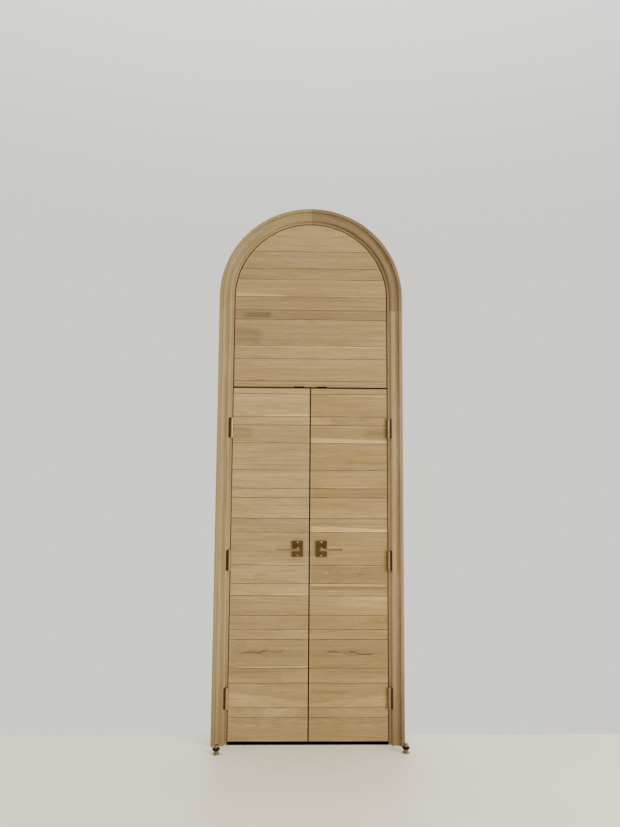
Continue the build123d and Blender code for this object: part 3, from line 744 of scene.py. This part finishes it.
FINISHES = (
    BoardFinish(
        "boards_left", Grain.ACROSS, 3.1, tone_seed=11, matched=0.714,
        pale=(0.5, 0.358, 0.172), warm=(0.468, 0.318, 0.142), tint_low=(0.93, 0.92, 0.81),
        tint_high=(1.05, 1.06, 1.05),
        knots=(
            Knot(-309, 935, 6.5, 0.75, 1.5), Knot(-69, 797, 3, 0.15), Knot(-400, 549, 6, 0.35),
            Knot(-308, 550, 4, 0.3), Knot(-268, 512, 6, 0.35), Knot(-98, 802, 5, 0.15),
        ),
        streaks=LEFT_STREAKS,
        crack=(
            (0, 517, 0), (90, 517, 0), (110, 517, 0.25), (135, 517, 0), (150, 518, 0.45),
            (162, 511, 0.5), (200, 509, 0.3), (222, 516, 0.35), (248, 517, 0.5), (262, 514, 0.9),
            (285, 505, 0.95), (300, 507, 0.85), (350, 508, 0.85), (370, 507, 0.6), (395, 498, 0.45),
            (410, 497, 0), (500, 497, 0),
        ),
    ),
    BoardFinish(
        "boards_right", Grain.ACROSS, 3.1, tone_seed=23, matched=0.714,
        tint_low=(0.92, 0.93, 0.85), tint_high=(0.99, 1.0, 0.98), pale=(0.475, 0.328, 0.143),
        warm=(0.44, 0.288, 0.114),
        knots=(
            Knot(441, 686, 4.5, 0.8), Knot(255, 679, 3, 0.3), Knot(229, 583, 3, 0.5),
            Knot(296, 952, 7, 0.22), Knot(151, 1286, 4, 0.45), Knot(112, 966, 4.5, 0.3),
            Knot(170, 958, 7, 0.12), Knot(140, 1352, 3, 0.3), Knot(390, 694, 4, 0.4),
        ),
        streaks=RIGHT_STREAKS,
        crack=(
            (0, 512, 0), (100, 512, 0), (114, 512, 0.8), (150, 511, 0.85), (175, 508, 0.7),
            (190, 505, 0.35), (230, 506, 0.5), (240, 511, 0.9), (255, 511, 1), (275, 504, 0.9),
            (292, 498, 0.95), (320, 496, 1), (345, 497, 0.95), (365, 501, 0.75), (385, 501, 0.35),
            (412, 499, 0.2), (440, 497, 0), (500, 497, 0),
        ),
    ),
    BoardFinish(
        "boards_panel", Grain.ACROSS, 8.4, tone_seed=37, matched=9,
        pale=(0.48, 0.336, 0.152), warm=(0.445, 0.295, 0.123),
        knots=(Knot(-258, 2494, 5, 0.8), Knot(-120, 2322, 3, 0.1), Knot(375, 2111, 3, 0.12)),
        streaks=PANEL_STREAKS, soil_sides=(0.0, 0.4562), soil_ends=(2.0458, 3.2),
    ),
    OakFinish("casing_leg_left", Grain.UPRIGHT, 21, hinged=True, foot=FOOT_LEFT, **FRAME_OAK),
    OakFinish(
        "casing_leg_right", Grain.UPRIGHT, 24, (0.4, 0.284, 0.142), (0.366, 0.248, 0.115),
        hinged=True, foot=FOOT_RIGHT),
    OakFinish(
        "casing_arch_left", Grain.ROUND_ARCH, 22, (0.404, 0.302, 0.139), (0.369, 0.266, 0.112)),
    OakFinish(
        "casing_arch_right", Grain.ROUND_ARCH, 23, (0.3, 0.2, 0.095), (0.265, 0.172, 0.078),
        figure=0.35, dark=(0.17, 0.105, 0.045)),
    OakFinish("jamb_left", Grain.UPRIGHT, 31, hinged=True, foot=FOOT_LEFT, **FRAME_OAK),
    # The right jamb is paler than the frame oak: painted light on its front strip, which the casing
    # shades
    OakFinish(
        "jamb_right", Grain.UPRIGHT, 34, (0.56, 0.405, 0.205), (0.515, 0.355, 0.165), hinged=True,
        foot=FOOT_RIGHT),
    OakFinish("stop_strips", Grain.UPRIGHT, 35, **FRAME_OAK),
    OakFinish("frame_across", Grain.ACROSS, 32, dark_soffit=True, **FRAME_OAK),
    OakFinish("frame_arch", Grain.ROUND_ARCH, 33, **FRAME_OAK),
    OakFinish(
        "core_staves", Grain.UPRIGHT, 41, (0.545, 0.405, 0.22), (0.5, 0.35, 0.172), figure=0.42),
    OakFinish("back_veneer", Grain.UPRIGHT, 51, figure=0.45),
    MetalFinish(
        "antique_brass", (0.235, 0.155, 0.052), (0.52, 0.38, 0.18), (0.15, 0.096, 0.034), 0.3),
    MetalFinish("rubbed_brass", (0.43, 0.315, 0.155), (0.68, 0.54, 0.33), (0.3, 0.21, 0.095), 0.32),
    MetalFinish(
        "satin_hinge_brass", (0.46, 0.325, 0.165), (0.56, 0.42, 0.24), (0.36, 0.25, 0.12), 0.38,
        grit=0.05),
    # A darker, rougher copy of the satin hinge brass: painted shade on the right-hand hinge plates
    MetalFinish(
        "dull_hinge_brass", (0.365, 0.252, 0.128), (0.47, 0.34, 0.19), (0.29, 0.195, 0.095), 0.46,
        grit=0.05),
    MetalFinish(
        "dark_strike", (0.022, 0.016, 0.011), (0.09, 0.065, 0.04), (0.014, 0.01, 0.007), 0.52),
    MetalFinish(
        "screw_brass", (0.62, 0.5, 0.29), (0.78, 0.67, 0.45), (0.45, 0.34, 0.18), 0.3, grit=0.06),
    MetalFinish(
        "plated_steel", (0.6, 0.6, 0.59), (0.74, 0.74, 0.73), (0.42, 0.41, 0.4), 0.32, grit=0.08),
    MetalFinish(
        "stop_bronze", (0.245, 0.205, 0.115), (0.56, 0.51, 0.4), (0.145, 0.118, 0.064), 0.24,
        grit=0.05),
    RubberFinish("stop_rubber"),
    FloorFinish("studio_floor"),
    # Painted shade: the slot under the leaves and the strip behind their gap
    DarkFinish("floor_slot"),
    DarkFinish("gap_shade", base=(0.016, 0.012, 0.009)),
)
# The right-hand plates take the darker copy of the hinge brass, as painted shade
PLATE_BRASS = {Side.LEFT: "satin_hinge_brass", Side.RIGHT: "dull_hinge_brass"}


def make_finishes() -> Finishes:
    """Makes each of the door's materials once, and keeps it by its finish's name."""
    make_board_counter()
    return {finish.name: finish.make() for finish in FINISHES}


def dress(finish: Material, *names: str) -> None:
    """Gives CAD nodes their material.

    Args:
        finish: The material.
        names: The nodes' names.
    """
    for name in names:
        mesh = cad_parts[name].data
        mesh.materials.clear()
        mesh.materials.append(finish)
        LOG.info("dressed %s with %s", name, finish.name)


def add_object(name: str, data: bpy.types.ID) -> bpy.types.Object:
    """Puts a new object at the scene's origin.

    Args:
        name: The object's name.
        data: Its mesh, camera or light.

    Returns:
        The new object.
    """
    thing = bpy.data.objects.new(name, data)
    bpy.context.scene.collection.objects.link(thing)
    return thing


def to_mesh(name: str, work: BMesh, *finishes: Material) -> bpy.types.Mesh:
    """Turns a bmesh into a mesh with these materials, and frees it.

    Args:
        name: The mesh's name.
        work: The bmesh.
        finishes: The materials.

    Returns:
        The new mesh.
    """
    mesh = bpy.data.meshes.new(name)
    work.to_mesh(mesh)
    work.free()
    for finish in finishes:
        mesh.materials.append(finish)
    return mesh


def cut(work: BMesh, point: Triple | Vector, normal: Triple | Vector) -> None:
    """Cuts all of a bmesh along a plane through a point."""
    everything = work.verts[:] + work.edges[:] + work.faces[:]
    bmesh.ops.bisect_plane(work, geom=everything, plane_co=point, plane_no=normal)


def corners(made: dict[str, list]) -> list[bmesh.types.BMVert]:
    """Corners among what an operator has extruded."""
    return [item for item in made["geom"] if isinstance(item, bmesh.types.BMVert)]


@dataclass
class Piece:
    """New piece of the scene, built in a bmesh that stands where it belongs, in metres."""

    name: str
    body: str
    slot: str
    finish: Material
    work: BMesh = field(default_factory=bmesh.new)
    weld: float = 1e-6
    sharp: float = 35.0

    def place(self, *nodes: str) -> None:
        """Turns the bmesh into an object that rides on its body.

        Args:
            nodes: The CAD nodes that the piece stands for.
        """
        bmesh.ops.remove_doubles(self.work, verts=self.work.verts[:], dist=self.weld)
        bmesh.ops.recalc_face_normals(self.work, faces=self.work.faces[:])
        mesh = to_mesh(self.name, self.work, self.finish)
        mesh.shade_smooth()
        mesh.set_sharp_from_angle(angle=math.radians(self.sharp))
        piece = add_object(self.name, mesh)
        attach(piece, self.body)
        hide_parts(*nodes)
        LOG.info("built %s for %s", self.name, ", ".join(nodes))

    def turn(
        self, profile: tuple[Pair, ...], axis: Triple, centre: Triple | Vector, steps: int = 48,
    ) -> None:
        """Spins a profile round an axis.

        Args:
            profile: Radius and height of its points, in millimetres.
            axis: The way that the heights run, as a unit vector.
            centre: Where height 0 lies, in millimetres.
            steps: How many faces go round.
        """
        up = Vector(axis)
        out = Vector((1.0, 0.0, 0.0))
        foot = Vector(centre) * MM
        verts = [
            self.work.verts.new(foot + out * (radius * MM) + up * (height * MM))
            for radius, height in profile
        ]
        edges = [self.work.edges.new(pair) for pair in zip(verts, verts[1:])]
        bmesh.ops.spin(
            self.work, geom=verts + edges, cent=foot, axis=up, angle=math.tau, steps=steps,
            use_merge=True,
        )
        bmesh.ops.remove_doubles(self.work, verts=self.work.verts[:], dist=self.weld)


@dataclass
class LeverSet:
    """One leaf's lever, with the heads of the two screws in its rose, in millimetres."""

    side: Side
    finishes: Finishes
    axis_x: float = 69.5
    axis_z: float = 1095.0
    reach: float = 62.0
    length: float = 121.0
    heel: float = 11.0
    bar: Pair = (11.0, 13.0)
    bar_ease: float = 1.2
    neck: float = 9.0
    rose_face: float = 8.0
    screw_offset: float = 38.0
    screw_radius: float = 4.5
    screw_shank: float = 2.0
    screw_length: float = 28.0
    screw_tip: float = 4.0
    screw_turns: Pair = (0.3, -0.5)
    slot_half: float = 0.45
    slot_face: float = 0.6
    slot_floor: float = 0.7

    @property
    def centre(self) -> Vector:
        """Where the lever's axis meets the leaf's face, in millimetres."""
        return Vector((self.side.value * self.axis_x, 0.0, self.axis_z))

    def build_lever(self) -> None:
        """Square bar with eased edges, on a round neck with a collar that meets the rose."""
        word = self.side.word
        brass = self.finishes["rubbed_brass"]
        piece = Piece(f"lever_handle_{word}", f"lever_{word}", "bronze", brass)
        thick, tall = self.bar
        long = self.length + self.heel
        middle = self.axis_x + (self.length - self.heel) / 2
        verts = bmesh.ops.create_cube(piece.work, size=1.0)["verts"]
        bmesh.ops.scale(piece.work, verts=verts, vec=(long * MM, thick * MM, tall * MM))
        place = Vector((self.side.value * middle, -self.reach + thick / 2, self.axis_z)) * MM
        bmesh.ops.translate(piece.work, verts=verts, vec=place)
        edges = {edge for vert in verts for edge in vert.link_edges}
        bmesh.ops.bevel(
            piece.work, geom=list(edges), offset=self.bar_ease * MM, segments=3, profile=0.5,
            affect="EDGES", material=-1,
        )
        neck, face, back = self.neck, self.rose_face, self.reach - thick
        piece.turn((
            (0.0, 2.0), (neck, 2.0), (neck, face + 1.6), (neck - 0.5, face + 2.3),
            (neck - 1.4, face + 2.6), (neck - 2.6, face + 4.0), (neck - 3.0, face + 8.0),
            (neck - 3.0, back - 8.0), (neck - 2.8, back - 3.0), (neck - 2.8, back + 2.0),
            (0.0, back + 2.0),
        ), FORWARD, self.centre)
        piece.place(f"lever_{word}")

    def build_screws(self) -> None:
        """Domed screws over and under the lever, each with a slot."""
        word = self.side.word
        brass = self.finishes["screw_brass"]
        piece = Piece(f"slotted_screws_{word}", f"leaf_{word}", "screw_metal", brass)
        radius, shank, face = self.screw_radius, self.screw_shank, self.rose_face
        tip = face - self.screw_length
        profile = (
            (0.0, tip), (shank * 0.4, tip), (shank, tip + self.screw_tip), (shank, face),
            (radius, face), (radius, face + 0.5), (radius * 0.93, face + 0.95),
            (radius * 0.78, face + 1.4), (radius * 0.55, face + 1.75),
            (radius * 0.28, face + 1.95), (0.0, face + 2.0),
        )
        for step, turn in zip((-1, 1), self.screw_turns):
            screw = Piece("screw", piece.body, piece.slot, brass)
            centre = self.centre + Vector(UPWARD) * step * self.screw_offset
            screw.turn(profile, FORWARD, centre, steps=32)
            self.cut_slot(screw.work, centre * MM, turn)
            mesh = to_mesh(screw.name, screw.work)
            piece.work.from_mesh(mesh)
            bpy.data.meshes.remove(mesh)
        piece.place(f"rose_screws_{word}")

    def cut_slot(self, work: BMesh, centre: Vector, turn: float) -> None:
        """Sinks a driver's slot across a screw's head.

        Args:
            work: The screw's bmesh.
            centre: The screw's axis, in metres.
            turn: The slot's angle from level, in radians.
        """
        across = Vector((-math.sin(turn), 0.0, math.cos(turn)))
        for side in (-1, 1):
            cut(work, centre + across * side * self.slot_half * MM, across)
        front = -(self.rose_face + self.slot_face) * MM
        faces = [
            face for face in work.faces
            if abs((face.calc_center_median() - centre).dot(across)) < 0.4 * MM
            and face.calc_center_median().y < front
            and all(vert.co.y < front + 0.2 * MM for vert in face.verts)
        ]
        for vert in corners(bmesh.ops.extrude_face_region(work, geom=faces)):
            vert.co.y = -(self.rose_face + self.slot_floor) * MM
        bmesh.ops.delete(work, geom=faces, context="FACES")

    def build(self) -> None:
        """Builds the lever and the screws, and dresses the rose and what is inside the leaf."""
        word = self.side.word
        self.build_lever()
        self.build_screws()
        dress(self.finishes["antique_brass"], f"rose_{word}")
        dress(self.finishes["plated_steel"], f"spindle_{word}", f"spring_cassette_{word}")


@dataclass
class FloorStop:
    """Turned post with a rubber ring, in millimetres."""

    side: Side
    finishes: Finishes
    place: Pair
    height: float = 47.0
    post: float = 14.0
    foot: float = 18.5
    neck: float = 11.0
    neck_low: float = 38.3
    neck_high: float = 40.6
    ring: float = 21.0
    ring_low: float = 21.0
    ring_tall: float = 13.0
    ring_gap: float = 0.1
    ring_share: float = 0.995
    bulge_step: int = 12
    bulge_power: float = 0.7
    around: int = 64

    def build(self) -> None:
        """Builds the post and its ring."""
        word = self.side.word
        centre = (*self.place, 0.0)
        low, high = self.ring_low, self.ring_low + self.ring_tall
        foot, wide, top = self.foot, self.post, self.height
        neck, under, over = self.neck, self.neck_low, self.neck_high
        seat = wide - 2.0
        post = Piece(f"turned_stop_{word}", "frame", "bronze", self.finishes["stop_bronze"])
        post.turn((
            (0.0, 0.0), (foot - 0.8, 0.0), (foot, 0.8), (foot, 2.0), (foot - 0.6, 3.2),
            (foot - 2.0, 4.0), (wide + 0.6, 4.6), (wide, 6.0), (wide, low - 1.0),
            (wide - 0.4, low), (seat, low), (seat, high), (wide - 0.4, high), (wide, high + 0.8),
            (wide, under - 1.1), (wide - 0.8, under - 0.3), (neck, under), (neck, over),
            (wide - 0.8, over + 0.4), (wide, over + 1.2), (wide, top - 2.0),
            (wide - 0.6, top - 0.7), (wide - 2.0, top), (0.0, top),
        ), UPWARD, centre, self.around)
        post.place(f"floor_stop_{word}")
        rubber = Piece(f"rubber_ring_{word}", "frame", "rubber", self.finishes["stop_rubber"])
        bore = seat + self.ring_gap
        middle, half = (low + high) / 2, self.ring_tall / 2 * self.ring_share
        arc = [math.radians(angle) for angle in range(-90, 91, self.bulge_step)]
        swell = self.ring - bore
        bulge = [
            (bore + swell * math.cos(angle) ** self.bulge_power, middle + half * math.sin(angle))
            for angle in arc
        ]
        rubber.turn((*bulge, (bore, middle - half)), UPWARD, centre, self.around)
        rubber.place(f"floor_stop_ring_{word}")


@dataclass
class Leaf:
    """One leaf with its hinge plates and its ball catch."""

    side: Side
    finishes: Finishes

    def build(self) -> None:
        """Dresses every piece of the leaf."""
        word = self.side.word
        finishes = self.finishes
        dress(finishes[f"boards_{word}"], f"leaf_boards_{word}")
        dress(finishes["core_staves"], f"leaf_core_{word}")
        dress(finishes["back_veneer"], f"leaf_back_{word}")
        dress(finishes["satin_hinge_brass"], f"leaf_hinge_screws_{word}")
        plates = (f"leaf_hinge_plate_{level}_{word}" for level in HINGE_WORDS)
        dress(finishes[PLATE_BRASS[self.side]], *plates)
        catch = (f"catch_{part}_{word}" for part in ("case", "ball", "spring"))
        dress(finishes["plated_steel"], *catch)


@dataclass
class Doorway:
    """Frame, casing and fixed panel, with what is screwed to them."""

    finishes: Finishes

    def build(self) -> None:
        """Dresses every fixed piece."""
        finishes = self.finishes
        for part in ("jamb", "casing_leg", "casing_arch"):
            for name in (f"{part}_{side.word}" for side in Side):
                dress(finishes[name], name)
        dress(finishes["stop_strips"], "stop_left", "stop_right")
        dress(finishes["frame_across"], "head_rail", "stop_head")
        dress(finishes["frame_arch"], "arch_lining", "arch_bead")
        dress(finishes["boards_panel"], "panel_boards")
        dress(finishes["core_staves"], "panel_core")
        dress(finishes["dark_strike"], "strike_left", "strike_right", "strike_screws")
        dress(finishes["satin_hinge_brass"], "hinge_pins", "frame_hinge_screws")
        for side in Side:
            plates = (f"frame_hinge_plate_{level}_{side.word}" for level in HINGE_WORDS)
            dress(finishes[PLATE_BRASS[side]], *plates)


@dataclass
class Studio:
    """Floor, camera and soft lights round the door, in metres and degrees."""

    finishes: Finishes
    camera_place: Triple = (-0.0763, -3.6366, 1.5528)
    yaw: float = 1.175
    pitch: float = 5.258
    roll: float = 0.401
    lens: float = 26.685
    floor_size: Pair = (5.6, 3.9)
    floor_back: float = 0.13
    floor_thick: float = 0.03
    floor_corner: float = 1.2
    slot: Triple = (0.4612, -0.005, 0.0455)
    shade_sides: Pair = (-0.0021, 0.0033)
    shade_back: float = 0.0465
    shade_top: float = 2.0315
    light_colour: Triple = (1.0, 0.955, 0.88)
    # Name, place, aim, size and power in watts
    lights: tuple[tuple[str, Triple, Triple, Pair, float], ...] = (
        ("key_light", (5.0, -3.1, 2.5), (0.0, 0.0, 1.1), (1.6, 2.2), 266.0),
        ("fill_light", (-1.6, -5.0, 2.6), (0.0, 0.0, 1.4), (3.2, 3.2), 42.0),
        ("top_light", (0.0, -1.9, 4.4), (0.0, -1.0, 0.0), (3.0, 1.6), 25.0),
    )

    def make_camera(self) -> None:
        """Camera where the photograph was taken from."""
        data = bpy.data.cameras.new("photo_camera")
        data.lens = self.lens
        camera = add_object("photo_camera", data)
        yaw, pitch, roll = (math.radians(angle) for angle in (self.yaw, self.pitch, self.roll))
        flat = math.cos(pitch)
        ahead = Vector((math.sin(yaw) * flat, math.cos(yaw) * flat, math.sin(pitch)))
        level = Vector((math.cos(yaw), -math.sin(yaw), 0.0))
        over = level.cross(ahead)
        right = level * math.cos(roll) + over * math.sin(roll)
        up = over * math.cos(roll) - level * math.sin(roll)
        turn = Matrix((right, up, -ahead)).transposed()
        camera.matrix_world = Matrix.Translation(self.camera_place) @ turn.to_4x4()
        bpy.context.scene.camera = camera

    def make_floor(self) -> None:
        """Pale floor that ends behind the door, with a slot under the leaves whose near-black faces
        are painted shade.
        """
        wide, deep = self.floor_size
        work = bmesh.new()
        verts = bmesh.ops.create_grid(work, x_segments=1, y_segments=1, size=0.5)["verts"]
        bmesh.ops.scale(work, verts=verts, vec=(wide, deep, 1.0))
        bmesh.ops.translate(work, verts=verts, vec=(0.0, self.floor_back - deep / 2, 0.0))
        front = [vert for vert in work.verts if vert.co.y < 0.0]
        bmesh.ops.bevel(
            work, geom=front, offset=self.floor_corner, segments=12, profile=0.5,
            affect="VERTICES", material=-1,
        )
        # The slot's near-black faces are painted shade under and just in front of the leaves
        half, low, high = self.slot
        for edge in (-half, half):
            cut(work, (edge, 0.0, 0.0), (1.0, 0.0, 0.0))
        for end in (low, high):
            cut(work, (0.0, end, 0.0), (0.0, 1.0, 0.0))
        middles = [(face, face.calc_center_median()) for face in work.faces]
        slot = [face for face, at in middles if abs(at.x) < half and low < at.y < high]
        bottom = corners(bmesh.ops.extrude_face_region(work, geom=slot))
        bmesh.ops.translate(work, verts=bottom, vec=(0.0, 0.0, -self.floor_thick / 2))
        bmesh.ops.delete(work, geom=slot, context="FACES")
        for face in work.faces:
            face.material_index = int(any(vert in bottom for vert in face.verts))
        rim = [edge for edge in work.edges if edge.is_boundary]
        lower = corners(bmesh.ops.extrude_edge_only(work, edges=rim))
        bmesh.ops.translate(work, verts=lower, vec=(0.0, 0.0, -self.floor_thick))
        bmesh.ops.recalc_face_normals(work, faces=work.faces[:])
        names = ("studio_floor", "floor_slot")
        mesh = to_mesh("studio_floor", work, *(self.finishes[name] for name in names))
        floor = add_object("studio_floor", mesh)

    def make_gap_shade(self) -> None:
        """Dark strip close behind the gap between the closed leaves, seen only by the camera:
        painted shade in the gap.
        """
        left, right = self.shade_sides
        upright = Matrix.Rotation(math.radians(90.0), 3, "X")
        work = bmesh.new()
        verts = bmesh.ops.create_grid(work, x_segments=1, y_segments=1, size=0.5)["verts"]
        bmesh.ops.scale(work, verts=verts, vec=(right - left, self.shade_top, 1.0))
        bmesh.ops.rotate(work, verts=verts, matrix=upright)
        middle = ((left + right) / 2, self.shade_back, self.shade_top / 2)
        bmesh.ops.translate(work, verts=verts, vec=middle)
        strip = add_object("gap_shade", to_mesh("gap_shade", work, self.finishes["gap_shade"]))
        strip.visible_diffuse = strip.visible_glossy = False
        strip.visible_transmission = strip.visible_shadow = False

    def make_lights(self) -> None:
        """Soft rectangular lights, out of the camera's sight."""
        for name, place, aim, size, power in self.lights:
            data = bpy.data.lights.new(name, "AREA")
            data.shape = "RECTANGLE"
            data.size, data.size_y = size
            data.energy = power
            data.color = self.light_colour
            light = add_object(name, data)
            light.location = place
            ahead = Vector(aim) - Vector(place)
            light.rotation_euler = ahead.to_track_quat("-Z", "Y").to_euler()
            light.visible_camera = False

    def make_world(self) -> None:
        """Pale surroundings behind the door, dimmer in front of it."""
        world = bpy.data.worlds.new("studio_world")
        world.use_nodes = True
        bpy.context.scene.world = world
        bench = NodeBench(world.node_tree)
        direction = bench.add("ShaderNodeTexCoord").outputs["Generated"]
        _, ahead, rise = bench.add("ShaderNodeSeparateXYZ", {0: direction}).outputs
        grey = bench.smooth(ahead, -0.2, 0.5, (0.20, 1.15))
        grey = bench.math("ADD", grey, bench.smooth(rise, 0.35, 0.95, (0.0, 1.1)))
        background = world.node_tree.nodes["Background"]
        colour = bench.brighten(bench.combine(1.0, 0.98, 0.94), grey)
        bench.feed(background.inputs["Color"], colour)

    def build(self) -> None:
        """Sets up the whole studio."""
        self.make_camera()
        self.make_floor()
        self.make_gap_shade()
        self.make_lights()
        self.make_world()


def main() -> None:
    """Builds the dressed door and its studio."""
    logging.basicConfig(level=logging.INFO, format="%(message)s")
    finishes = make_finishes()
    Doorway(finishes).build()
    for side in Side:
        Leaf(side, finishes).build()
        LeverSet(side, finishes).build()
    FloorStop(Side.LEFT, finishes, (-506.0, -114.0)).build()
    FloorStop(Side.RIGHT, finishes, (540.0, -102.0)).build()
    Studio(finishes).build()


if __name__ == "__main__":
    main()
